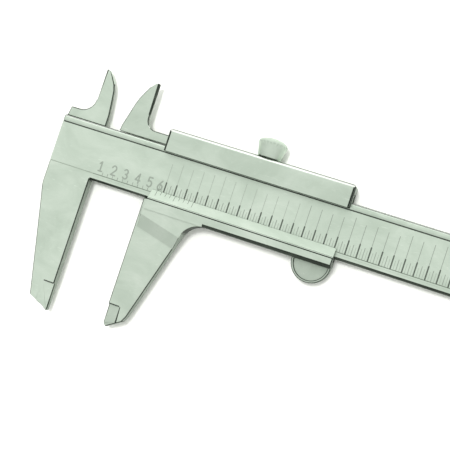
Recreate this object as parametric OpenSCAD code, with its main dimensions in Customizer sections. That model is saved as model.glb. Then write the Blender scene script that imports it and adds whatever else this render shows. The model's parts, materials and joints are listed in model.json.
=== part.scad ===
// Vernier caliper, 0 to 150 mm, lying on its back.
// X runs along the beam, Y across it (outer jaws towards -Y), +Z out of the front face.
// Origin: fixed outer measuring face, lower edge of the beam, back face of the beam.

/* [Beam] */
// Measuring range
range_mm = 150; // [100:10:200]
// Width of the beam
beam_w = 16; // [15:0.5:18]
// Thickness of the beam
beam_t = 3; // [2.8:0.1:3.6]
// Depth of the milled scale face below the two rails
face_deep = 0.25; // [0.1:0.05:0.35]
// Height of the lower rail of the beam
rail_low = 1.9; // [1.2:0.1:2.5]
// Height of the upper rail of the beam
rail_up = 1.8; // [1.2:0.1:2.2]
// Width of the groove for the depth rod
groove_w = 2.2; // [1.8:0.1:3]

/* [Outer jaws] */
// Length of the outer jaws below the beam
jaw_len = 39.6; // [32:0.2:48]
// Width of the fixed head
head_w = 13.4; // [12:0.2:16]
// Width of the fixed jaw near its tip
fixed_tip_w = 6; // [4:0.5:8]
// Width of the movable jaw at its root
mov_root_w = 15.2; // [13:0.2:17]
// Width of the movable jaw near its tip
mov_tip_w = 6.2; // [4:0.2:8]
// Radius of the fillet between the movable jaw and the slider
jaw_fillet = 6; // [3:0.5:8]
// Length of the ground relief at the jaw tips
relief_len = 8; // [5:0.5:12]

/* [Inner jaws] */
// Height of the inner jaws above the beam
inner_h = 16.2; // [13:0.2:18]
// Distance of the inner measuring edges behind the outer measuring faces
inner_x = 6.2; // [5.6:0.1:6.6]
// Width of an inner jaw at its root
inner_w = 5.2; // [4.4:0.1:5.6]

/* [Slider] */
// Opening of the jaws as drawn
opening = 17.4; // [5:0.2:60]
// Length of the slider
slider_len = 54.9; // [50:0.2:62]
// Height of the slider's front above the beam's front
slider_rise = 2.2; // [2:0.1:3]
// Height of the slider above the beam's upper edge
wall_up = 4.8; // [4.6:0.1:6]
// Height of the slider below the beam's lower edge
wall_low = 3; // [2.8:0.1:4]
// Thickness of the slider's web behind the beam
web_t = 0.95; // [0.8:0.05:1.2]
// Thickness of the back cover
cover_t = 0.65; // [0.6:0.05:0.8]
// Width of the vernier lip on the scale
lip_w = 2.9; // [2:0.1:4]

/* [Locking screw and thumb rest] */
// Radius of the locking screw's head
knob_r = 4.15; // [3:0.05:4.2]
// Height of the locking screw's head
knob_h = 5.5; // [4:0.1:8]
// Place of the locking screw from the slider's left end
knob_x = 29.1; // [24:0.2:36]
// Radius of the thumb rest
thumb_r = 5.6; // [4.5:0.1:6]

/* [Hidden] */
$fn = 64;
e = 0.01;
run = 0.05;                         // running clearance of the slide
fit = 0.02;                         // clearance of pieces that are fastened together
beam_end = range_mm + 65;
zf = beam_t;                        // front of the beam
zs = beam_t + slider_rise;          // front of the slider
zc = -run;                          // the slider's way behind the beam
zw = zc - web_t;                    // back of the slider's web
zr = zw - cover_t;                  // lowest plane
xs = opening + 1.6;                 // slider's left end
xe = xs + slider_len;               // slider's right end
yt = beam_w + wall_up;              // slider's upper edge
yl = -wall_low;                     // slider's lower edge
yw = beam_w + 2.2;                  // inner face of the slider's upper wall
xk = xs + knob_x;
zk = beam_t - 0.5;                  // axis of the locking screw
yg = beam_w / 2;                    // depth rod groove
stop_x = beam_end - 8;
base_y = beam_w + 2.84;             // shoulder of the inner jaws
root_r = 4;                         // fillet at the root of the fixed inner jaw
z_in = [1.6, 2.85];                 // layer of the movable inner jaw, in front
z_if = [0.2, 1.45];                 // layer of the fixed inner jaw, behind
cover_pts = [[xs + 3.2, yl + 1.8], [xe - 14.4, yl + 1.8], [xs + 3.2, yt - 1.9], [xe - 3.2, yt - 1.9]];
vern_pts = [xs + 14.5, xs + 36];
gibs = [xs + 12, xe - 7];
rivets = [xe - 8.3, xe - 3.1];
steel = [0.80, 0.84, 0.79];

// a (y, z) section swept along x
module along_x(x0, x1) translate([x0, 0, 0]) rotate([90, 0, 90]) linear_extrude(x1 - x0) children();
// rounded rectangle
module rrect(x0, y0, x1, y1, r) {
    translate([x0, y0 + r]) square([x1 - x0, y1 - y0 - 2 * r]);
    translate([x0 + r, y0]) square([x1 - x0 - 2 * r, y1 - y0]);
    for (x = [x0 + r, x1 - r], y = [y0 + r, y1 - r]) translate([x, y]) circle(r);
}
// slotted countersunk screw, head up at z = 0, shank down
module csk(r, len, hr, slot = true) difference() {
    union() {
        translate([0, 0, -len]) cylinder(r = r, h = len - 0.3);
        translate([0, 0, -(hr - r) - 0.3]) cylinder(r1 = r, r2 = hr, h = hr - r);
        translate([0, 0, -0.31]) cylinder(r = hr, h = 0.31);
    }
    if (slot) translate([-hr - 1, -0.2, -0.35]) cube([2 * hr + 2, 0.4, 1]);
}
// its seat, made larger by the fit all round
module csk_hole(r, len, hr) {
    translate([0, 0, -len]) cylinder(r = r + fit, h = len);
    translate([0, 0, -(hr - r) - 0.3 - fit]) cylinder(r1 = r + fit, r2 = hr + fit, h = hr - r);
    translate([0, 0, -0.3 - 2 * fit]) cylinder(r = hr + fit, h = 2);
}

// ---- beam with the fixed jaws ----
module beam_plate() linear_extrude(zf) {
    translate([-head_w, 0]) square([beam_end + head_w - 1, beam_w]);
    translate([beam_end - 3, 1]) square([3, beam_w - 2]);
    for (y = [1, beam_w - 1]) translate([beam_end - 1, y]) circle(1);
}
module fixed_outer_jaw() linear_extrude(zf)
    polygon([[0, 1], [0, -jaw_len + 0.5], [-0.25, -jaw_len], [-1.7, -jaw_len + 1.1],
        [-fixed_tip_w, -jaw_len + 3], [-head_w + 1.1, -9.3], [-head_w + 0.18, -5.6],
        [-head_w, -4.4], [-head_w, 1]]);
// outline of the fixed inner jaw
module fixed_inner_2d() {
    h = inner_h;
    difference() {
        polygon([[-head_w, beam_w - 0.3], [-head_w + 0.55, base_y], [-inner_x - root_r, base_y],
            [-inner_x, base_y + root_r], [-inner_x, beam_w + h - 0.1], [-inner_x + 0.35, beam_w + h],
            [-inner_x + 1.35, beam_w + h - 0.3], [-inner_x + 2.6, beam_w + h - 2],
            [-inner_x + 3.7, beam_w + h - 3.8], [-inner_x + 4.3, beam_w + h - 5.6],
            [-inner_x + 4.75, beam_w + h - 9], [-inner_x + inner_w, beam_w + 3.4],
            [-inner_x + inner_w, beam_w - 0.3]]);
        translate([-inner_x - root_r, base_y + root_r]) circle(root_r);
    }
}
// ground bevel along the measuring edge of an inner jaw; s = 1 where the jaw lies towards +x
module inner_bevel(x, s, z) translate([x, beam_w + inner_h + 1, z]) rotate([90, 0, 0])
    linear_extrude(inner_h + 1 - 2.84 - root_r) polygon([[-0.2 * s, -1.15], [-0.2 * s, 0.5], [0.65 * s, 0.5], [0.4 * s, 0]]);
module tip_relief(x, s) translate([x, -jaw_len - 2, zf - 1.1]) mirror([s < 0 ? 1 : 0, 0, 0])
    rotate([0, -16.5, 0]) translate([-1, 0, 0]) cube([6, relief_len + 2, 3]);
module beam() color(steel) difference() {
    union() {
        beam_plate();
        fixed_outer_jaw();
        translate([0, 0, z_if[0]]) linear_extrude(z_if[1] - z_if[0]) fixed_inner_2d();
    }
    // scale face between the rails, with a step groove at each side
    along_x(-head_w - 1, beam_end + 1) polygon([[rail_low, zf + 1], [rail_low, zf - face_deep - 0.12],
        [rail_low + 0.22, zf - face_deep - 0.12], [rail_low + 0.22, zf - face_deep],
        [beam_w - rail_up - 0.26, zf - face_deep], [beam_w - rail_up - 0.26, zf - face_deep - 0.3],
        [beam_w - rail_up, zf - face_deep - 0.3], [beam_w - rail_up, zf - face_deep],
        [beam_w - rail_up + 0.5, zf], [beam_w - rail_up + 0.5, zf + 1]]);
    // fine line beside the lower rail
    along_x(1, beam_end + 1) translate([rail_low - 0.62, zf - 0.1]) square([0.16, 1]);
    // edges of the beam
    along_x(-head_w - 1, beam_end + 1) polygon([[beam_w - 0.45, zf + e], [beam_w + 0.05, zf - 0.5], [beam_w + 0.05, zf + e]]);
    along_x(0.02, beam_end + 1) polygon([[0.6, zf + e], [-0.01, zf - 0.75], [-0.01, zf + e]]);
    along_x(0.02, beam_end + 1) polygon([[0.25, -e], [-0.01, 0.25], [-0.01, -e]]);
    along_x(-head_w - 1, beam_end + 1) polygon([[beam_w - 0.25, -e], [beam_w + e, 0.25], [beam_w + e, -e]]);
    // groove for the depth rod
    translate([4, yg - groove_w / 2, -1]) cube([beam_end, groove_w, 1 + 1.9]);
    // relief of the two measuring tips
    tip_relief(0, -1);
    inner_bevel(-inner_x, 1, z_if[1]);
    // edge of the head
    translate([-head_w, -5, zf]) rotate([0, 45, 0]) cube([0.5, 60, 0.5], center = true);
    // threaded holes of the end stop
    for (y = [-4.5, 4.5]) translate([stop_x + 4, yg + y, -1]) cylinder(r = 0.8 + fit, h = 1 + 2.2);
}

// ---- stop plate at the far end ----
module beam_end_stop() color([0.74, 0.77, 0.73]) difference() {
    translate([0, 0, zr + 0.03]) linear_extrude(-zr - 0.05) rrect(stop_x, 1, beam_end - 0.4, beam_w - 1, 1);
    for (y = [-4.5, 4.5]) translate([stop_x + 4, yg + y, zr + 0.03]) mirror([0, 0, 1]) csk_hole(0.8, 4, 1.5);
}
module end_stop_screws() color([0.6, 0.62, 0.6])
    for (y = [-4.5, 4.5]) translate([stop_x + 4, yg + y, zr + 0.05]) mirror([0, 0, 1]) csk(0.8, 3.4, 1.5);

// ---- slider ----
module slider_section() {
    // upper wall and upper front rail, rounded along the outer edge
    translate([yw, zw]) square([yt - yw, zs - 1.1 - zw]);
    translate([beam_w - rail_up, zf + run]) square([yw - beam_w + rail_up + e, zs - 0.2 - zf - run]);
    translate([beam_w - rail_up + 0.2, zf + run]) square([yt - 1.1 - beam_w + rail_up - 0.2, zs - zf - run]);
    translate([yt - 1.1, zs - 1.1]) circle(1.1);
    translate([beam_w - rail_up + 0.2, zs - 0.2]) circle(0.2);
    // lower wall with the skin over the vernier plate's foot
    translate([yl, zw]) square([-yl - run, zf + run - zw]);
    translate([yl, zw]) square([0.55, zf + 1.46 - zw]);
    translate([yl, zf + 1.45]) square([-yl, zs - zf - 1.45]);
    // web behind the beam
    translate([yl, zw]) square([yt - yl, zc - zw]);
}
module mov_outer_2d() {
    // right edge of the jaw from (root, yl) to (tip, -jaw_len + 6)
    k = (mov_root_w - mov_tip_w) / (jaw_len - 6 + yl);
    n = [1, -k] / sqrt(1 + k * k);
    cx = mov_root_w + (jaw_fillet - jaw_fillet * k / sqrt(1 + k * k)) / (1 / sqrt(1 + k * k));
    t1 = [cx, yl - jaw_fillet] - jaw_fillet * n;
    translate([opening, 0]) {
        polygon([[0, -run], [0, -jaw_len + 2.6], [0.25, -jaw_len + 2.1], [1, -jaw_len + 1.5],
            [5.3, -jaw_len + 4.2], [mov_tip_w, -jaw_len + 6], [mov_root_w, yl], [mov_root_w + 2, -run]]);
        difference() {
            polygon([t1, [t1[0] - 1, t1[1]], [mov_root_w - 1, yl + 0.5], [cx, yl + 0.5], [cx, yl]]);
            translate([cx, yl - jaw_fillet]) circle(jaw_fillet);
        }
    }
}
// outline of the movable inner jaw
module mov_inner_2d() translate([opening - inner_x, 0]) {
    h = beam_w + inner_h;
    difference() {
        polygon([[0, h - 0.1], [-0.3, h], [-0.95, h - 0.2], [-2.7, h - 2], [-3.7, h - 3.8], [-4.6, h - 5.6],
            [-5.2, h - 7.4], [-5.7, h - 9.2], [-6.1, h - 10.9], [-6.6, h - 12.7], [-7, beam_w + 2],
            [-7.2, beam_w + 0.1], [inner_x + 4, beam_w + 0.1], [inner_x + 4, base_y], [3.2, base_y], [0, base_y + 3.2]]);
        translate([3.2, base_y + 3.2]) circle(3.2);
    }
}
module slider_body() color(steel) difference() {
    union() {
        intersection() {
            along_x(xs, xe) slider_section();
            translate([0, 0, -5]) linear_extrude(20) rrect(xs, yl - 3, xe, yt, 0.9);
        }
        // closed left end of the gib channel, root of the movable inner jaw
        translate([xs, beam_w + 0.1, 0.2]) cube([6, 2.3, zf + run - 0.2 + e]);
        translate([0, 0, z_in[0]]) linear_extrude(z_in[1] - z_in[0]) mov_inner_2d();
        // movable outer jaw, thick at its root and running out on a slope
        linear_extrude(zf) mov_outer_2d();
        intersection() {
            translate([0, 0, zf - 0.5]) linear_extrude(2.2) mov_outer_2d();
            translate([opening + 0.9, yl + 0.5 - 60, zf - 1]) cube([40, 60, 4]);
            translate([opening + 8, -8.2, 0]) rotate([0, 0, -14])
                along_x(-30, 30) polygon([[-5.09, zf - 1], [1.7, zf + 1.35], [1.7, zf + 3], [20, zf + 3], [20, zf - 1]]);
        }
    }
    tip_relief(opening, 1);
    inner_bevel(opening - inner_x, -1, z_in[1]);
    // chamfer along the lower front edge, from the jaw's fillet on
    along_x(opening + mov_root_w + 4, xe + 1) polygon([[yl - 1, zs - 2.25], [yl + 0.8, zs], [yl + 0.8, zs + 1], [yl - 1, zs + 1]]);
    // chamfered ends of the upper rail
    for (x = [xs, xe]) translate([x, beam_w + 2, zs]) rotate([0, 45, 0]) cube([0.64, 12, 0.64], center = true);
    // seat of the depth rod's carrier screw
    translate([xs + 12, yg, zr]) mirror([0, 0, 1]) csk_hole(0.6, 4, 1.2);
    // bores
    translate([xk, 0, zk]) rotate([-90, 0, 0]) translate([0, 0, beam_w + 1.15]) cylinder(r = 1.35, h = 20);
    for (x = gibs) translate([x, yw - 1, 1.5]) rotate([-90, 0, 0]) cylinder(r = 1 + fit, h = 10);
    for (x = vern_pts) translate([x, yl + 1.5, zw]) mirror([0, 0, 1]) csk_hole(0.6, 6, 1.1);
    for (p = cover_pts) translate([p[0], p[1], zr]) mirror([0, 0, 1]) csk_hole(0.6, 4.2, 1.1);
    // pocket and blind holes of the thumb rest
    translate([xe - thumb_r * 2 - 0.1, yl - 1, -fit]) cube([thumb_r * 2 + 1, wall_low + 0.4, 2.25]);
    for (x = rivets) translate([x, yl + 1.3, 0]) cylinder(r = 0.6 + fit, h = zf - 0.05);
}

// ---- bevelled vernier scale ----
module vernier_plate() color([0.82, 0.86, 0.81]) difference() {
    intersection() {
        along_x(xs + fit, xe - fit) polygon([[yl + 0.6, zf + run + fit], [lip_w, zf + run + fit],
            [lip_w, zf + 0.4], [0.3, zs - 0.06], [fit, zs - 0.02], [fit, zf + 1.42], [yl + 0.6, zf + 1.42]]);
        translate([0, 0, -5]) linear_extrude(20) rrect(xs, yl - 3, xe, lip_w, 0.5);
    }
    for (x = vern_pts) translate([x, yl + 1.5, zf]) cylinder(r = 0.6 + fit, h = 1.2);
}
module vernier_plate_screws() color([0.6, 0.62, 0.6])
    for (x = vern_pts) translate([x, yl + 1.5, zw + fit]) mirror([0, 0, 1]) csk(0.6, zf + 2, 1.1);

// ---- back cover ----
module back_cover() color([0.76, 0.79, 0.75]) difference() {
    translate([0, 0, zr]) linear_extrude(cover_t - fit) rrect(xs + 0.1, yl + 0.1, xe - 0.1, yt - 0.1, 1.5);
    for (p = cover_pts) translate([p[0], p[1], zr]) mirror([0, 0, 1]) csk_hole(0.6, 4, 1.1);
    translate([xs + 12, yg, zr]) mirror([0, 0, 1]) csk_hole(0.6, 4, 1.2);
    // chamfer along the two long edges
    for (y = [yl, yt]) translate([xs, y, zr]) rotate([45, 0, 0]) cube([slider_len * 3, 0.9, 0.9], center = true);
}
module back_cover_screws() color([0.6, 0.62, 0.6])
    for (p = cover_pts) translate([p[0], p[1], zr + fit]) mirror([0, 0, 1]) csk(0.6, 4, 1.1);

// ---- gib, its spring and its screws ----
module gib_strip() color([0.72, 0.55, 0.26]) translate([xs + 7, beam_w + 0.04, 0.2]) cube([slider_len - 9, 1.15, zf - 0.35]);
module gib_spring() color([0.5, 0.53, 0.55]) {
    x0 = xs + 14.5;
    translate([0, 0, 0.5]) linear_extrude(zf - 1) polygon([
        for (i = [0:12]) [x0 + i * 0.9, beam_w + 1.24 + 0.68 * sin(i * 15)],
        for (i = [12:-1:0]) [x0 + i * 0.9, beam_w + 1.44 + 0.68 * sin(i * 15)]]);
}
module gib_screws() color([0.35, 0.36, 0.36])
    for (x = gibs) difference() {
        translate([x, beam_w + 1.21, 1.5]) rotate([-90, 0, 0]) cylinder(r = 1, h = wall_up - 1.7);
        translate([x - 2, yt - 1, 1.3]) cube([4, 3, 0.4]);
    }

// ---- locking screw and its pad ----
module lock_screw() color([0.78, 0.81, 0.77]) translate([xk, 0, zk]) rotate([-90, 0, 0]) difference() {
    rotate_extrude() polygon([[0, beam_w + 2.35], [1.0, beam_w + 2.35], [1.3, beam_w + 2.65],
        [1.3, yt + 0.15], [knob_r * 0.78 - 0.12, yt + 0.15], [knob_r * 0.78, yt + 0.27], [knob_r - 0.05, yt + 0.3 + knob_h * 0.62],
        for (a = [0:10:90]) [knob_r * cos(a), yt + 0.3 + knob_h * (0.70 + 0.30 * sin(a))]]);
    // grip flutes round the head
    for (a = [0:15:359]) rotate([0, 0, a]) translate([knob_r + 0.14, 0, yt]) cylinder(r = 0.3, h = 0.3 + knob_h * 0.72);
}
module lock_pad() color([0.78, 0.62, 0.3]) translate([xk, beam_w + 1.5, zk]) rotate([-90, 0, 0])
    cylinder(r = 1.2, h = 0.83);

// ---- thumb rest ----
module thumb_rest() color([0.74, 0.78, 0.74]) {
    xc = xe - thumb_r;
    difference() {
        union() {
            translate([xc, yl + 0.1, 0]) cylinder(r = thumb_r, h = 2.2);
            translate([xc - thumb_r, yl + 0.1, 0]) cube([thumb_r * 2 - 0.05, 2.2, 2.2]);
        }
        translate([xc - 10, yl + 2.3, -1]) cube([20, 10, 5]);
        // dished thumb face inside a raised rim
        translate([xc, yl, 1.75]) cylinder(r = thumb_r - 0.8, h = 2);
        translate([xc - 10, yl - 0.02, 1.75]) cube([20, 10, 5]);
        for (x = rivets) translate([x, yl + 1.3, -1]) cylinder(r = 0.6 + fit, h = 4);
    }
}
module thumb_rest_rivets() color([0.66, 0.68, 0.66])
    for (x = rivets) translate([x, yl + 1.3, 0.02]) cylinder(r = 0.6, h = 2.9);

// ---- depth rod ----
module depth_rod() color([0.76, 0.79, 0.76]) difference() {
    translate([0, yg - 0.9, 0.6]) linear_extrude(1.15)
        polygon([[xs + 4, 0], [beam_end + opening - 2, 0], [beam_end + opening, 0.9], [beam_end + opening, 1.8], [xs + 4, 1.8]]);
    translate([xs + 12, yg, 0]) cylinder(r = 0.6 + fit, h = 4);
}
module depth_rod_carrier() color([0.68, 0.7, 0.68]) difference() {
    translate([0, 0, zc + fit]) linear_extrude(0.6 - zc - 2 * fit) rrect(xs + 4, yg - 0.9, xs + 20, yg + 0.9, 0.4);
    translate([xs + 12, yg, -1]) cylinder(r = 0.6 + fit, h = 4);
}
module carrier_screw() color([0.6, 0.62, 0.6])
    translate([xs + 12, yg, zr + fit]) mirror([0, 0, 1]) csk(0.6, 3.3, 1.2);

beam();
beam_end_stop();
end_stop_screws();
slider_body();
vernier_plate();
vernier_plate_screws();
back_cover();
back_cover_screws();
gib_strip();
gib_spring();
gib_screws();
lock_screw();
lock_pad();
thumb_rest();
thumb_rest_rivets();
depth_rod();
depth_rod_carrier();
carrier_screw();
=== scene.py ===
import json
import math
import random
import bmesh
import bpy
from mathutils import Matrix, Vector

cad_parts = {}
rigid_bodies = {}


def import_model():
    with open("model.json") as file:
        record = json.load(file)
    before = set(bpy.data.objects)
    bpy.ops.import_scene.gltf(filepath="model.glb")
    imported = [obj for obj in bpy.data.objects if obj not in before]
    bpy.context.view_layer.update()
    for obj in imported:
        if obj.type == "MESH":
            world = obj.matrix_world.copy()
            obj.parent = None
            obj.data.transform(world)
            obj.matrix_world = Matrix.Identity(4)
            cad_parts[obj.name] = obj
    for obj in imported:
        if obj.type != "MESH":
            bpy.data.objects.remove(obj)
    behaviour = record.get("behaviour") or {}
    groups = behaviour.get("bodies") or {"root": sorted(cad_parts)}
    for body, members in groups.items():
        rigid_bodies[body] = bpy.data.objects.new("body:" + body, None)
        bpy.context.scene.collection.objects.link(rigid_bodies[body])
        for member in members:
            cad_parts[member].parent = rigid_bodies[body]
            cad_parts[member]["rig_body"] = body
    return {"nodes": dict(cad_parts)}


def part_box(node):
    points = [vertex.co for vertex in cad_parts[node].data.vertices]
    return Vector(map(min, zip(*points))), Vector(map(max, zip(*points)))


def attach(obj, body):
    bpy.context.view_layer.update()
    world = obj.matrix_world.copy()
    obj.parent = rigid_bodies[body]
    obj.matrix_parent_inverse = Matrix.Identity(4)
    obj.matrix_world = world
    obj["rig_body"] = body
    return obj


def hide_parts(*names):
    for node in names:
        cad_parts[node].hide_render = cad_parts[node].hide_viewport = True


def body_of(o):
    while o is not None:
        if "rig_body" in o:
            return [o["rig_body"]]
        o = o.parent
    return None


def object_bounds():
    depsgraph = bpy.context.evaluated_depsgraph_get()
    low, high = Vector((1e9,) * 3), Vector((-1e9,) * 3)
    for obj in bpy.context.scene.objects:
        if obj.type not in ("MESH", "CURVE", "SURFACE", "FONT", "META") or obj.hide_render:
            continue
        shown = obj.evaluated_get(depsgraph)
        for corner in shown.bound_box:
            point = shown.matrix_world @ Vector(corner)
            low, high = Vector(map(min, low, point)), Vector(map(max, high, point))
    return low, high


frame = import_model()
CAD_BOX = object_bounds()
scene = bpy.context.scene
MM = 0.001
NODES = frame["nodes"]

# ------------------------------------------------------------------ sizes read from the frame
beam_lo, beam_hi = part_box("beam")
sl_lo, sl_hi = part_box("slider_body")
ver_lo, ver_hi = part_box("vernier_plate")
thumb_lo, thumb_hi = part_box("thumb_rest")
cov_lo, cov_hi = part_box("back_cover")
stop_lo, stop_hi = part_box("beam_end_stop")
BEAM_W = 0.016                      # lower edge of the beam is y = 0
ZF = beam_hi.z                      # front of the beam's rails
ZFACE = ZF - 0.25 * MM              # the milled scale face
ZS = sl_hi.z                        # front of the slider
LIP = ver_hi.y                      # top of the vernier lip

# ------------------------------------------------------------------ camera
cam_data = bpy.data.cameras.new("camera")
cam_data.sensor_width = 36.0
cam_data.lens = 80.0
cam_data.clip_start, cam_data.clip_end = 0.01, 10.0
cam = bpy.data.objects.new("camera", cam_data)
scene.collection.objects.link(cam)
R = Matrix(((0.926748, 0.315592, -0.203811), (-0.301921, 0.948502, 0.09585), (0.223565, -0.027294, 0.974307)))
cam.matrix_world = Matrix.Translation(Vector((104.4111, -7.996, 270.6242 + 3.0)) * MM) @ R.transposed().to_4x4()
scene.camera = cam

# ------------------------------------------------------------------ materials


def nodes_of(name):
    m = bpy.data.materials.new(name)
    m.use_nodes = True
    nt = m.node_tree
    nt.nodes.clear()
    out = nt.nodes.new("ShaderNodeOutputMaterial")
    bsdf = nt.nodes.new("ShaderNodeBsdfPrincipled")
    nt.links.new(bsdf.outputs[0], out.inputs[0])
    return m, nt, bsdf


def tex(nt, scale, detail=4.0, rough=0.55, stretch=(1, 1, 1), distortion=0.0, offset=(0, 0, 0), turn=(0, 0, 0)):
    co = nt.nodes.new("ShaderNodeTexCoord")
    mp = nt.nodes.new("ShaderNodeMapping")
    mp.inputs["Scale"].default_value = stretch
    mp.inputs["Location"].default_value = offset
    mp.inputs["Rotation"].default_value = turn
    no = nt.nodes.new("ShaderNodeTexNoise")
    no.inputs["Scale"].default_value = scale
    no.inputs["Detail"].default_value = detail
    no.inputs["Roughness"].default_value = rough
    no.inputs["Distortion"].default_value = distortion
    nt.links.new(co.outputs["Object"], mp.inputs[0])
    nt.links.new(mp.outputs[0], no.inputs["Vector"])
    return no.outputs["Fac"]


def ramp(nt, fac, stops):
    r = nt.nodes.new("ShaderNodeValToRGB")
    e = r.color_ramp.elements
    while len(e) > len(stops):
        e.remove(e[-1])
    while len(e) < len(stops):
        e.new(1.0)
    for el, (p, c) in zip(e, stops):
        el.position = p
        el.color = (*c, 1.0) if len(c) == 3 else c
    nt.links.new(fac, r.inputs[0])
    return r.outputs["Color"]


def rng(nt, fac, a, b, c, d):
    r = nt.nodes.new("ShaderNodeMapRange")
    for i, v in zip(("From Min", "From Max", "To Min", "To Max"), (a, b, c, d)):
        r.inputs[i].default_value = v
    nt.links.new(fac, r.inputs["Value"])
    return r.outputs[0]


def mix(nt, fac, a, b, mode="MIX"):
    m = nt.nodes.new("ShaderNodeMix")
    m.data_type = "RGBA"
    m.blend_type = mode
    if isinstance(fac, float):
        m.inputs["Factor"].default_value = fac
    else:
        nt.links.new(fac, m.inputs["Factor"])
    for s, v in (("A", a), ("B", b)):
        i = [x for x in m.inputs if x.name == s and x.type == "RGBA"][0]
        if isinstance(v, tuple):
            i.default_value = (*v, 1.0)
        else:
            nt.links.new(v, i)
    return [x for x in m.outputs if x.type == "RGBA"][0]


def math_(nt, op, a, b):
    m = nt.nodes.new("ShaderNodeMath")
    m.operation = op
    for i, v in ((0, a), (1, b)):
        if isinstance(v, (int, float)):
            m.inputs[i].default_value = v
        else:
            nt.links.new(v, m.inputs[i])
    return m.outputs[0]


def steel(name, base, dark, light, rough=(0.34, 0.46), grain="x", grain_mm=0.12, grain_len=14.0, bump=0.05, blotch=0.30, metallic=1.0, wear=0.5):
    """Ground or brushed steel: slow tone blotches, long fine grinding marks and small bright handling scuffs."""
    m, nt, b = nodes_of(name)
    b.inputs["Metallic"].default_value = metallic
    s = 1.0 / (grain_mm * MM)
    st = {"x": (1.0 / grain_len, 1, 1), "y": (1, 1.0 / grain_len, 1), "z": (1, 1, 1.0 / grain_len), "n": (1, 1, 1)}[grain]
    g = tex(nt, s, 3.0, 0.6, st)
    g2 = tex(nt, s * 0.22, 2.0, 0.5, st, offset=(3.1, 1.7, 0.4))
    blot = tex(nt, 105.0, 5.0, 0.62, {"x": (0.6, 1, 1), "y": (1, 0.6, 1)}.get(grain, (1, 1, 1)), 0.8)
    fine = tex(nt, 700.0, 4.0, 0.6, (1, 1, 1), 0.3, offset=(0.3, 0.1, 0.7))
    col = ramp(nt, blot, [(0.28, dark), (0.52, base), (0.76, light)])
    col = mix(nt, rng(nt, g, 0.3, 0.7, 0.0, 0.22), col, dark)
    col = mix(nt, rng(nt, fine, 0.62, 0.8, 0.0, 0.35), col, light)
    scuff = tex(nt, 1500.0, 2.0, 0.5, {"x": (0.25, 1, 1), "y": (1, 0.25, 1)}.get(grain, (1, 1, 1)), 0.2, offset=(1.3, 0.2, 2.1))
    col = mix(nt, rng(nt, scuff, 0.66, 0.80, 0.0, wear), col, tuple(min(1.0, c * 1.10) for c in light))
    nt.links.new(col, b.inputs["Base Color"])
    r = rng(nt, math_(nt, "ADD", math_(nt, "MULTIPLY", g, 0.5), math_(nt, "MULTIPLY", blot, 0.5)), 0.3, 0.7, rough[0], rough[1])
    nt.links.new(r, b.inputs["Roughness"])
    bp = nt.nodes.new("ShaderNodeBump")
    bp.inputs["Strength"].default_value = bump
    bp.inputs["Distance"].default_value = 0.02 * MM
    nt.links.new(math_(nt, "ADD", g, math_(nt, "MULTIPLY", g2, 0.6)), bp.inputs["Height"])
    nt.links.new(bp.outputs[0], b.inputs["Normal"])
    return m


BASE = (0.562, 0.648, 0.558)
DARK = (0.472, 0.557, 0.470)
LIGHT = (0.650, 0.728, 0.642)


def tone(k):
    return tuple(tuple(c * k for c in t) for t in (BASE, DARK, LIGHT))


MAT = {}
MAT["beam"] = steel("beam_ground_steel", *tone(1.13), rough=(0.36, 0.48), grain="x", bump=0.06)
MAT["slider"] = steel("slider_ground_steel", *tone(1.06), rough=(0.36, 0.50), grain="x", bump=0.06)
MAT["lip"] = steel("vernier_fine_steel", *tone(1.20), rough=(0.38, 0.5), grain="x", grain_mm=0.08, bump=0.04)
MAT["cover"] = steel("cover_brushed_sheet", *tone(0.93), rough=(0.33, 0.46), grain="x", grain_mm=0.10, grain_len=30.0, bump=0.09)
MAT["knob"] = steel("knob_turned_steel", *tone(1.10), rough=(0.42, 0.56), grain="n", grain_mm=0.15, bump=0.05, metallic=0.55)
MAT["thumb"] = steel("thumb_pressed_steel", *tone(0.90), rough=(0.42, 0.54), grain="n", grain_mm=0.2, bump=0.06)
MAT["rod"] = steel("rod_drawn_steel", *tone(0.92), rough=(0.25, 0.36), grain="x", grain_mm=0.06, grain_len=40.0, bump=0.05)
MAT["screw"] = steel("screw_turned_steel", *tone(0.80), rough=(0.28, 0.42), grain="n", grain_mm=0.08, bump=0.06)
# painted shade: a darker copy of the steel for walls that do not face up
MAT["side"] = steel("side_satin_steel", (0.270, 0.315, 0.268), (0.205, 0.243, 0.204), (0.345, 0.395, 0.342), rough=(0.42, 0.56), grain="x", grain_mm=0.20, grain_len=8.0, bump=0.08, wear=0.4)
# painted shade: a very dark steel for thin outlines and for the hollow under the slider
MAT["rim"] = steel("side_dull_steel", (0.150, 0.178, 0.150), (0.095, 0.114, 0.095), (0.225, 0.262, 0.225), rough=(0.42, 0.58), grain="n", grain_mm=0.25, bump=0.10, wear=0.3)
# painted shade: a near-black steel for the broken edges, drawing dark outlines
MAT["edge"] = steel("edge_blackened_steel", (0.050, 0.062, 0.050), (0.028, 0.035, 0.028), (0.110, 0.130, 0.108), rough=(0.45, 0.60), grain="n", grain_mm=0.30, bump=0.10, wear=0.0)
# painted shade: a darker copy of the slider steel for a band across the jaw's root
MAT["smear"] = steel("root_dull_steel", *tone(0.96), rough=(0.42, 0.54), grain="x", bump=0.06)
# painted highlight: a near-white steel for the upper rounded edges and the knob's crown
MAT["bright"] = steel("edge_polished_steel", (0.86, 0.89, 0.85), (0.76, 0.80, 0.75), (0.93, 0.95, 0.92), rough=(0.26, 0.38), grain="x", bump=0.03, wear=0.0)
MAT["bronze"] = steel("gib_bronze", (0.60, 0.42, 0.18), (0.47, 0.31, 0.12), (0.72, 0.54, 0.27), rough=(0.34, 0.5), grain="x", bump=0.05)
MAT["spring"] = steel("spring_blued_steel", (0.20, 0.23, 0.27), (0.12, 0.14, 0.18), (0.32, 0.35, 0.38), rough=(0.25, 0.4), grain="x", bump=0.03)


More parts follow.
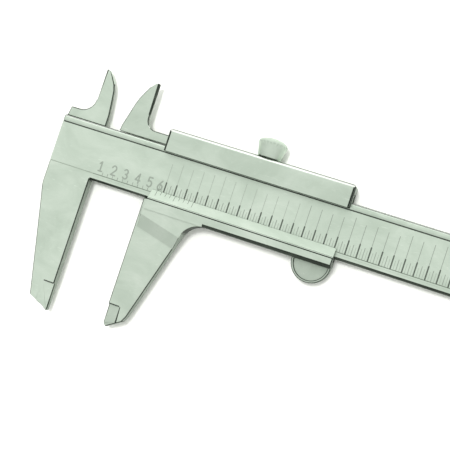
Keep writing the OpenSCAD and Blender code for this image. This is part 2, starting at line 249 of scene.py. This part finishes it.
def ink(name, col, spread=0.35):
    m, nt, b = nodes_of(name)
    a = tex(nt, 2600.0, 4.0, 0.65)
    c = ramp(nt, a, [(0.3, tuple(x * (1 - spread) for x in col)), (0.7, tuple(min(1, x * (1 + spread)) for x in col))])
    nt.links.new(c, b.inputs["Base Color"])
    nt.links.new(rng(nt, a, 0.3, 0.7, 0.5, 0.75), b.inputs["Roughness"])
    b.inputs["Metallic"].default_value = 0.0
    return m


# painted shade: near-black used only in the grooves and stop cuts
MAT["ink"] = ink("engraving_black", (0.045, 0.060, 0.045))
# engraving ink for the marks, also painted shade in the lower groove
MAT["ink_mid"] = ink("engraving_worn", (0.22, 0.27, 0.215))
MAT["ink_soft"] = ink("engraving_grey", (0.105, 0.130, 0.103))
MAT["ink_faint"] = ink("engraving_faint", (0.33, 0.385, 0.325), 0.15)
MAT["ink_number"] = ink("engraving_number", (0.36, 0.42, 0.355), 0.12)
# engraving ink for the fine lines, also painted shade in the lower groove on the head
MAT["ink_ghost"] = ink("engraving_ghost", (0.44, 0.51, 0.43), 0.10)

# ------------------------------------------------------------------ CAD nodes, refined with softened edges


def merge_flat(bm):
    """Joins the triangles of each flat face that has no hole in it into one face; a face with holes keeps its triangles."""
    bm.normal_update()
    seen = set()
    groups = []
    for f in bm.faces:
        if f in seen:
            continue
        seen.add(f)
        group, stack = [f], [f]
        while stack:
            g = stack.pop()
            for e in g.edges:
                if len(e.link_faces) == 2 and e.calc_face_angle(1.0) < math.radians(0.6):
                    h = e.link_faces[0] if e.link_faces[1] is g else e.link_faces[1]
                    if h not in seen and h.normal.angle(f.normal, 1.0) < math.radians(0.8):
                        seen.add(h)
                        group.append(h)
                        stack.append(h)
        if len(group) > 1:
            inside = set(group)
            rim = [e for g in group for e in g.edges if sum(1 for h in e.link_faces if h in inside) == 1]
            verts = {}
            for e in rim:
                for v in e.verts:
                    verts.setdefault(v, []).append(e)
            if all(len(es) == 2 for es in verts.values()):
                left, loops = set(rim), 0
                while left:
                    loops += 1
                    todo = [left.pop()]
                    while todo:
                        e = todo.pop()
                        for v in e.verts:
                            for k in verts[v]:
                                if k in left:
                                    left.discard(k)
                                    todo.append(k)
                if loops == 1:
                    groups.append(group)
    for group in groups:
        bmesh.ops.dissolve_faces(bm, faces=group, use_verts=False)


def refined(node, width, mat, seg=2, angle=11.0, side=None, lit=False, soft=(), rim="edge"):
    """A copy of the node's own mesh, with its flat faces merged and its edges broken, that stands for it.
    With side, its walls and broken edges take painted shade, darker copies of the steel; with lit, the rounded upper
    edges take a painted highlight with a painted dark outline beyond it, and further slots hold painted shade;
    soft holds (x0, x1, y0, y1) areas in mm where the broken edges keep the face's own material, without painted shade."""
    src = NODES[node]
    me = src.data.copy()
    for nm in [a.name for a in me.attributes if a.name in ("custom_normal", "sharp_edge", "sharp_face")]:
        me.attributes.remove(me.attributes[nm])
    o = bpy.data.objects.new(node + "_work", me)
    scene.collection.objects.link(o)
    bm = bmesh.new()
    bm.from_mesh(me)
    bmesh.ops.remove_doubles(bm, verts=bm.verts, dist=1e-6)
    merge_flat(bm)
    bm.normal_update()
    lo = [min(v.co[i] for v in bm.verts) for i in range(3)]
    hi = [max(v.co[i] for v in bm.verts) for i in range(3)]
    wt = bm.edges.layers.float.new("bevel_weight_edge")
    span = {f: 2.0 * f.calc_area() / max(1e-9, sum(e.calc_length() for e in f.edges)) for f in bm.faces}
    for e in bm.edges:
        if len(e.link_faces) == 2 and math.degrees(e.calc_face_angle(0.0)) > angle:
            # the faces of one round wall count as one, so only a narrow flat face keeps its sharp edge
            ok = True
            for f in e.link_faces:
                if span[f] < 2.2 * width:
                    near = [k for k in f.edges if len(k.link_faces) == 2 and 0.3 < math.degrees(k.calc_face_angle(0.0)) < angle]
                    ok = ok and len(near) > 0 and max(k.calc_length() for k in near) > 2.2 * width
            y = (e.verts[0].co.y + e.verts[1].co.y) / 2
            fine_tip = y < -37.4 * MM or y > 30.6 * MM          # the thin tips of the jaws take a finer edge
            # the milled groove in the beam's back keeps its sharp edges
            in_groove = node == "beam" and all(6.4 * MM < v.co.y < 9.6 * MM and v.co.z < 2.3 * MM for v in e.verts)
            e[wt] = (0.35 if fine_tip else 1.0) if ok and not in_groove else 0.0
    for f in bm.faces:
        f.smooth = True
        f.material_index = 0
    bm.to_mesh(me)
    bm.free()
    me.materials.clear()
    for m in (mat, side or mat, rim if side else mat, "bright" if lit else mat, "rim" if lit else mat, "smear" if lit else mat):
        me.materials.append(MAT[m])
    if width > 0:
        md = o.modifiers.new("edges", "BEVEL")
        md.width = width
        md.segments = seg
        md.limit_method = "WEIGHT"
        md.use_clamp_overlap = False
        md.loop_slide = False
        md.material = 2
    dg = bpy.context.evaluated_depsgraph_get()
    out = bpy.data.meshes.new_from_object(o.evaluated_get(dg), preserve_all_data_layers=True, depsgraph=dg)
    out.name = node + "_finished"
    bpy.data.objects.remove(o)
    bm = bmesh.new()
    bm.from_mesh(out)
    for v in bm.verts:                                            # no broken edge reaches past the node's own box
        v.co = [min(max(v.co[i], lo[i]), hi[i]) for i in range(3)]
    bm.normal_update()
    for f in bm.faces:
        if f.material_index == 0:
            curved = False
            for e in f.edges:
                if len(e.link_faces) == 2:
                    g = e.link_faces[0] if e.link_faces[1] is f else e.link_faces[1]
                    if g.material_index == 0 and 0.3 < math.degrees(e.calc_face_angle(0.0)) < 11.0:
                        curved = True
                        break
            f.smooth = curved and max(abs(c) for c in f.normal) < 0.9996
    for e in bm.edges:
        if len(e.link_faces) == 2 and e.calc_face_angle(0.0) > math.radians(50.0):
            e.smooth = False
    for f in bm.faces:
        nx, ny, nz = f.normal
        c = f.calc_center_median()
        if node == "lock_screw" and 0.20 < ny < 0.72 and c.y > sl_hi.y + 3 * MM:
            f.material_index = 3                                  # painted highlight: a bright ring round the crown
            continue
        flat = math.hypot(nx, ny)
        if node == "slider_body" and 20 * MM < c.x < 37 * MM and -12 * MM < c.y < -1 * MM and abs(nz) < 0.85 and nx > 0.02 and ny < -0.40 * flat:
            f.material_index = 2 if ny < -0.52 * flat else 4      # painted shade in the hollow between the jaw and the lower edge
            continue
        if node == "slider_body" and 17 * MM < c.x < 30 * MM and -12 * MM < c.y < -2.5 * MM and 0.9 < nz and c.z < ZS - 0.02 * MM and f.material_index == 0:
            f.material_index = 5                                  # painted shade: a darker band across the jaw's root
            continue
        # painted highlight on the upper rounded edges of the beam and slider, with a painted dark outline above it
        long_edge = (node == "beam" and 15.3 * MM < c.y < 16.1 * MM) or (node == "slider_body" and c.y > 19.3 * MM and c.x > sl_lo.x + 7 * MM and nx * nx < 0.2)
        if lit and long_edge and 0.24 < ny < 0.76 and nz > 0.30:
            f.material_index = 3
        elif lit and long_edge and ny >= 0.76 and nz > 0.05:
            f.material_index = 4
        elif f.material_index == 2 and max(abs(nx), abs(ny), abs(nz)) > 0.9996:
            # slivers that the bevel leaves in a flat face belong to that face; on a wall they take its painted shade
            f.material_index = 1 if side and abs(nz) < 0.5 and ny < 0.5 else 0
            f.smooth = False
        # painted shade: walls that do not face up take the darker wall material, sloped walls the wall or edge material
        elif f.material_index == 0 and side and abs(nz) < 0.3:
            f.material_index = 0 if ny > 0.5 else 1
        elif f.material_index == 0 and side and abs(nz) < 0.75 and ny < 0.5:
            f.material_index = 1 if abs(nx) > 0.6 and abs(nz) > 0.6 else 2
        elif f.material_index == 2 and any(x0 < c.x / MM < x1 and y0 < c.y / MM < y1 for x0, x1, y0, y1 in soft):
            f.material_index = 0
    bm.to_mesh(out)
    bm.free()
    q = bpy.data.objects.new(node + "_finished", out)
    scene.collection.objects.link(q)
    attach(q, body_of(src)[0])
    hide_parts(node)
    return q


LOOK = {
    "beam": "beam", "beam_end_stop": "cover", "end_stop_screws": "screw", "slider_body": "slider",
    "vernier_plate": "lip", "vernier_plate_screws": "screw", "back_cover": "cover", "back_cover_screws": "screw",
    "gib_strip": "bronze", "gib_spring": "spring", "gib_screws": "screw", "lock_screw": "knob", "lock_pad": "bronze",
    "thumb_rest": "thumb", "thumb_rest_rivets": "screw", "depth_rod": "rod", "depth_rod_carrier": "cover",
    "carrier_screw": "screw",
}
for n, o in NODES.items():
    o.data.materials.clear()
    o.data.materials.append(MAT[LOOK[n]])
    for p in o.data.polygons:
        p.material_index = 0

# node: (broken edge in mm, darker material of painted shade for its walls and broken edges, painted highlight on its
# upper edges)
EDGES = {
    "beam": (0.26, "side", True), "slider_body": (0.24, "side", True), "vernier_plate": (0.07, "side", False),
    "back_cover": (0.10, "side", False), "beam_end_stop": (0.10, "side", False), "thumb_rest": (0.20, "side", False),
    "depth_rod": (0.06, None, False), "lock_screw": (0.10, None, True), "end_stop_screws": (0.04, None, False),
    "back_cover_screws": (0.04, None, False), "vernier_plate_screws": (0.03, None, False),
    "carrier_screw": (0.03, None, False), "gib_strip": (0.06, None, False), "gib_screws": (0.05, None, False),
    "lock_pad": (0.06, None, False), "thumb_rest_rivets": (0.05, None, False), "depth_rod_carrier": (0.05, None, False),
    "gib_spring": (0.0, None, False),
}
SOFT = {"slider_body": [(9.0, 19.5, 15.6, 16.6), (17.0, 36.0, -11.5, -2.0)], "beam": [(-14.0, 0.4, 1.4, 2.6), (-14.0, 216.0, 14.25, 15.9), (-5.0, -2.6, -37.5, -31.9)]}
FINISHED = {n: refined(n, w * MM, LOOK[n], side=sd, lit=lt, soft=SOFT.get(n, ()), rim="side" if n == "vernier_plate" else "edge") for n, (w, sd, lt) in EDGES.items()}

# ------------------------------------------------------------------ engraved marks


def prism(bm, pts, z0, z1, mat):
    lo = [bm.verts.new((x, y, z0)) for x, y in pts]
    hi = [bm.verts.new((x, y, z1)) for x, y in pts]
    n = len(pts)
    fs = [bm.faces.new(list(reversed(lo))), bm.faces.new(hi)]
    for i in range(n):
        fs.append(bm.faces.new((lo[i], lo[(i + 1) % n], hi[(i + 1) % n], hi[i])))
    for f in fs:
        f.material_index = mat


def bar(bm, x0, y0, x1, y1, w, z0, z1, mat):
    """A straight cut with rounded ends from (x0, y0) to (x1, y1)."""
    d = Vector((x1 - x0, y1 - y0))
    if d.length < 1e-9:
        return
    d.normalize()
    a = math.atan2(d.y, d.x)
    pts = []
    for cx, cy, s in ((x1, y1, -90), (x0, y0, 90)):
        for k in range(5):
            t = a + math.radians(s + k * 45)
            pts.append((cx + w / 2 * math.cos(t), cy + w / 2 * math.sin(t)))
    prism(bm, pts, z0, z1, mat)


def arc(cx, cy, rx, ry, a0, a1, n=8):
    return [(cx + rx * math.cos(math.radians(a0 + (a1 - a0) * i / n)), cy + ry * math.sin(math.radians(a0 + (a1 - a0) * i / n))) for i in range(n + 1)]


DIGITS = {
    "0": [arc(0.3, 0.5, 0.3, 0.5, 0, 360, 14)],
    "1": [[(0.08, 0.78), (0.32, 1.0), (0.32, 0.0)], [(0.08, 0.0), (0.56, 0.0)]],
    "2": [arc(0.3, 0.72, 0.28, 0.28, 170, -40, 8) + [(0.02, 0.0), (0.6, 0.0)]],
    "3": [arc(0.28, 0.75, 0.26, 0.25, 150, -90, 8), arc(0.28, 0.25, 0.3, 0.25, 90, -150, 8)],
    "4": [[(0.44, 0.0), (0.44, 1.0), (0.0, 0.3), (0.62, 0.3)]],
    "5": [[(0.54, 1.0), (0.1, 1.0), (0.06, 0.56)] + arc(0.27, 0.32, 0.3, 0.32, 130, -140, 9)],
    "6": [[(0.46, 1.0), (0.12, 0.55)] + arc(0.3, 0.3, 0.28, 0.3, 150, -210, 12)],
    "7": [[(0.02, 1.0), (0.58, 1.0), (0.2, 0.0)]],
    "8": [arc(0.3, 0.76, 0.23, 0.24, 0, 360, 12), arc(0.3, 0.26, 0.29, 0.26, 0, 360, 12)],
    "9": [arc(0.3, 0.7, 0.28, 0.3, 0, 360, 12), [(0.57, 0.66), (0.2, 0.0)]],
}


def digit(bm, ch, x, y, h, w, z0, z1, mat, aspect=0.9):
    k = 0
    for stroke in DIGITS[ch]:
        pts = [(x + px * h * aspect, y + py * h) for px, py in stroke]
        for a, b in zip(pts, pts[1:]):
            # neighbouring cuts differ a little in height, so no two tops lie in one plane
            bar(bm, *a, *b, w, z0, z1 + (k % 4) * 0.002 * MM, mat)
            k += 1


def number(bm, text, xc, y, h, w, z0, z1, mat, aspect=0.9):
    pitch = 0.82 * h * aspect
    x = xc - (len(text) * pitch - 0.2 * h * aspect) / 2
    for ch in text:
        digit(bm, ch, x, y, h, w, z0, z1, mat, aspect)
        x += pitch


def mark_object(name, bm, body, mats):
    me = bpy.data.meshes.new(name)
    bmesh.ops.recalc_face_normals(bm, faces=bm.faces)
    bm.to_mesh(me)
    bm.free()
    for m in mats:
        me.materials.append(MAT[m])
    o = bpy.data.objects.new(name, me)
    scene.collection.objects.link(o)
    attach(o, body)
    return o


EIGHTH = 3.175 * MM
ZERO = 3.3 * MM
random.seed(7)
bm = bmesh.new()
z0, z1 = ZFACE - 0.03 * MM, ZFACE + 0.012 * MM
foot = 2.15 * MM
n = 0
while ZERO + n * EIGHTH / 4 < 0.1560:
    x = ZERO + n * EIGHTH / 4
    early = n < 22
    j = 0.25 * MM * (random.random() - 0.5)
    if n % 4 == 0 and not early:
        bar(bm, x, foot, x, 5.9 * MM + j, 0.40 * MM, z0, z1, 0)
    elif n % 4 == 0:
        bar(bm, x, foot, x, 3.0 * MM, 0.16 * MM, z0, z1, 2)
    elif n % 2 == 0:
        bar(bm, x, foot, x, (3.0 if early else 5.2) * MM + j, 0.20 * MM, z0, z1 - 0.002 * MM, 2)
    elif not early:
        bar(bm, x, foot, x, 4.7 * MM + j, 0.16 * MM, z0, z1 - 0.004 * MM, 3)
    # long fine guide line above each eighth
    if n % 4 == 0 and n >= 22:
        top = (11.2 + 1.3 * random.random()) * MM
        bar(bm, x, 6.1 * MM, x, top, (0.16 if n < 76 else 0.18) * MM, z0, z1 - 0.004 * MM, 3 if n < 76 else 2)
    n += 1
for ch, xc in zip("123456", (2.2, 6.3, 10.0, 13.9, 17.6, 20.8)):
    number(bm, ch, xc * MM, 3.2 * MM, 2.7 * MM, 0.42 * MM, z0, z1, 4, 0.85)
main_marks = mark_object("main_scale_marks", bm, "beam", ("ink_soft", "ink_mid", "ink_faint", "ink_ghost", "ink_number"))

# painted shade: dark strips in the long grooves beside the rails and in the stop cuts of the measuring tips
bm = bmesh.new()
gx0, gx1 = beam_lo.x + 0.2 * MM, 0.215 - 0.1 * MM
prism(bm, [(gx0, 13.82 * MM), (gx1, 13.82 * MM), (gx1, 14.16 * MM), (gx0, 14.16 * MM)], ZFACE - 0.1 * MM, ZFACE + 0.015 * MM, 0)
for x0, x1, mt in ((gx0, 0.4 * MM, 2), (0.4 * MM, gx1, 1)):
    prism(bm, [(x0, 1.91 * MM), (x1, 1.91 * MM), (x1, 2.11 * MM), (x0, 2.11 * MM)], ZF - 0.41 * MM, ZF - 0.30 * MM, mt)
RELIEF = beam_lo.y + 8.0 * MM
bar(bm, -0.25 * MM, RELIEF + 0.1 * MM, -3.1 * MM, RELIEF + 0.1 * MM, 0.34 * MM, ZF - 0.05 * MM, ZF + 0.012 * MM, 0)
groove_shade = mark_object("rail_groove_fill", bm, "beam", ("ink", "ink_mid", "ink_ghost"))
bm = bmesh.new()
jx = 0.0174
# painted shade in the stop cut of the movable jaw's tip
bar(bm, jx + 0.25 * MM, RELIEF + 0.1 * MM, jx + 3.2 * MM, RELIEF + 0.1 * MM, 0.34 * MM, ZF - 0.05 * MM, ZF + 0.012 * MM, 0)
tip_shade = mark_object("tip_cut_fill", bm, "slider", ("ink",))

# vernier lines run down the lip's bevel
p0 = Vector((0, LIP, ZF + 0.4 * MM))
p1 = Vector((0, 0.3 * MM, ZS - 0.06 * MM))
bm = bmesh.new()
vz = ver_lo.x + 1.7 * MM
tilt = (p1 - p0).normalized()
up = Vector((0, -tilt.z, tilt.y))
if up.z < 0:
    up = -up
for i in range(9):
    x = vz + i * (7 * EIGHTH / 2 / 8)
    t = 1.9 * MM if i in (0, 4, 8) else 1.25 * MM
    a, b = p0 + tilt * 0.02 * MM, p0 + tilt * t
    w = 0.07 * MM
    vs = []
    for q, s in ((a, -1), (a, 1), (b, 1), (b, -1)):
        vs.append((Vector((x + s * w, q.y, q.z)) - up * 0.03 * MM, Vector((x + s * w, q.y, q.z)) + up * 0.010 * MM))
    lo = [bm.verts.new(v[0]) for v in vs]
    hi = [bm.verts.new(v[1]) for v in vs]
    bm.faces.new(list(reversed(lo)))
    bm.faces.new(hi)
    for j in range(4):
        bm.faces.new((lo[j], lo[(j + 1) % 4], hi[(j + 1) % 4], hi[j]))
vernier_marks = mark_object("vernier_marks", bm, "slider", ("ink_mid",))

# ------------------------------------------------------------------ floor, light
zr = CAD_BOX[0].z - 0.02 * MM
me = bpy.data.meshes.new("floor")
s = 1.6
me.from_pydata([(-s, -s, zr), (s, -s, zr), (s, s, zr), (-s, s, zr)], [], [(0, 1, 2, 3)])
floor = bpy.data.objects.new("floor", me)
scene.collection.objects.link(floor)
fm, fnt, fb = nodes_of("floor_pale")
fb.inputs["Roughness"].default_value = 0.9
fb.inputs["Specular IOR Level"].default_value = 0.1
fcol = ramp(fnt, tex(fnt, 6.0, 3.0, 0.5), [(0.3, (0.93, 0.94, 0.905)), (0.7, (0.95, 0.96, 0.925))])
fnt.links.new(fcol, fb.inputs["Base Color"])
me.materials.append(fm)

world = bpy.data.worlds.new("world")
scene.world = world
world.use_nodes = True
wn = world.node_tree
bg = wn.nodes["Background"]
wc = wn.nodes.new("ShaderNodeTexCoord")
sep = wn.nodes.new("ShaderNodeSeparateXYZ")
wn.links.new(wc.outputs["Generated"], sep.inputs[0])


def wrng(v, a, b, c, d):
    r = wn.nodes.new("ShaderNodeMapRange")
    r.interpolation_type = "SMOOTHSTEP"
    for i, x in zip(("From Min", "From Max", "To Min", "To Max"), (a, b, c, d)):
        r.inputs[i].default_value = x
    wn.links.new(v, r.inputs["Value"])
    return r.outputs[0]


up_ = wrng(sep.outputs["Z"], 0.20, 0.85, 0.66, 0.98)      # an overhead tent, dark towards the horizon
back_ = wrng(sep.outputs["Y"], 0.40, 0.90, 0.0, 0.42)     # a white card behind the object
wa = wn.nodes.new("ShaderNodeMath")
wa.operation = "ADD"
wn.links.new(up_, wa.inputs[0])
wn.links.new(back_, wa.inputs[1])
wn.links.new(wa.outputs[0], bg.inputs[1])
bg.inputs[0].default_value = (1.0, 1.0, 0.985, 1)

def sun_lamp(name, energy, angle, direction):
    d = bpy.data.lights.new(name, "SUN")
    d.energy = energy
    d.angle = math.radians(angle)
    o = bpy.data.objects.new(name, d)
    scene.collection.objects.link(o)
    o.rotation_mode = "QUATERNION"
    o.rotation_quaternion = Vector(direction).to_track_quat("-Z", "Y")
    return o


key = sun_lamp("key", 0.16, 20.0, (0.25, -0.62, -0.74))
# a lamp for the floor alone keeps it white close to the object
table = sun_lamp("table", 1.7, 12.0, (0.10, -0.17, -0.98))
only_floor = bpy.data.collections.new("lit_floor")
only_floor.objects.link(floor)
table.light_linking.receiver_collection = only_floor

scene.view_settings.view_transform = "Standard"
scene.view_settings.look = "None"
scene.view_settings.exposure = 0.0
scene.view_settings.gamma = 1.0
